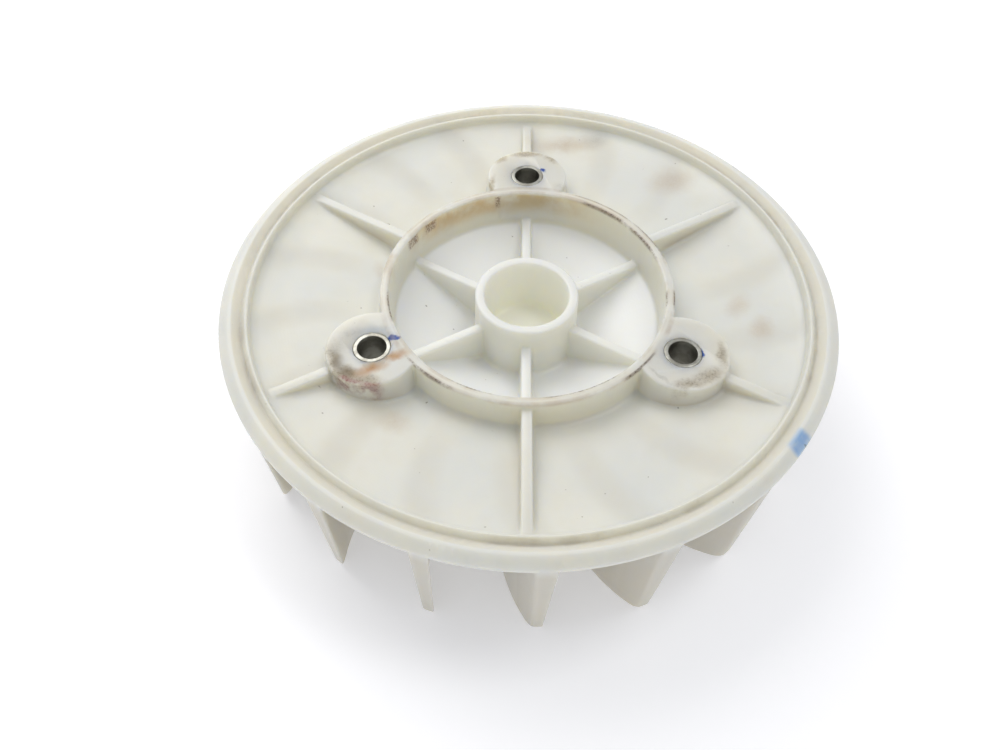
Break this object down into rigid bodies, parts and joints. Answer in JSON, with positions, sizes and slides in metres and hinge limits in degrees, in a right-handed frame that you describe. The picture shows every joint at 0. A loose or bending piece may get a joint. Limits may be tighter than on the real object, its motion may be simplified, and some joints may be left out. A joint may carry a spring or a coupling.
{
  "type": "cooling fan wheel",
  "caption": "Dished moulded fan wheel with curved blades under a ridged rim, a ribbed hub with a blind bore, and steel-sleeved bolt pads on a ring.",
  "frame": {"origin": "on the wheel's axis, in the plane of the blade tips", "axes": "+Z along the axis from the blade tips to the mounting face, +Y towards the first bolt pad, +X to its right seen from the mounting face"},
  "size_m": [0.14, 0.14, 0.037],
  "materials": {
    "nylon": "natural, slightly translucent nylon, soft gloss, stained by use",
    "sleeve_steel": "bright plated steel with worn mouths"
  },
  "bodies": {
    "root": {"fan_wheel": "nylon", "bush_1": "sleeve_steel", "bush_2": "sleeve_steel", "bush_3": "sleeve_steel"}
  },
  "joints": []
}
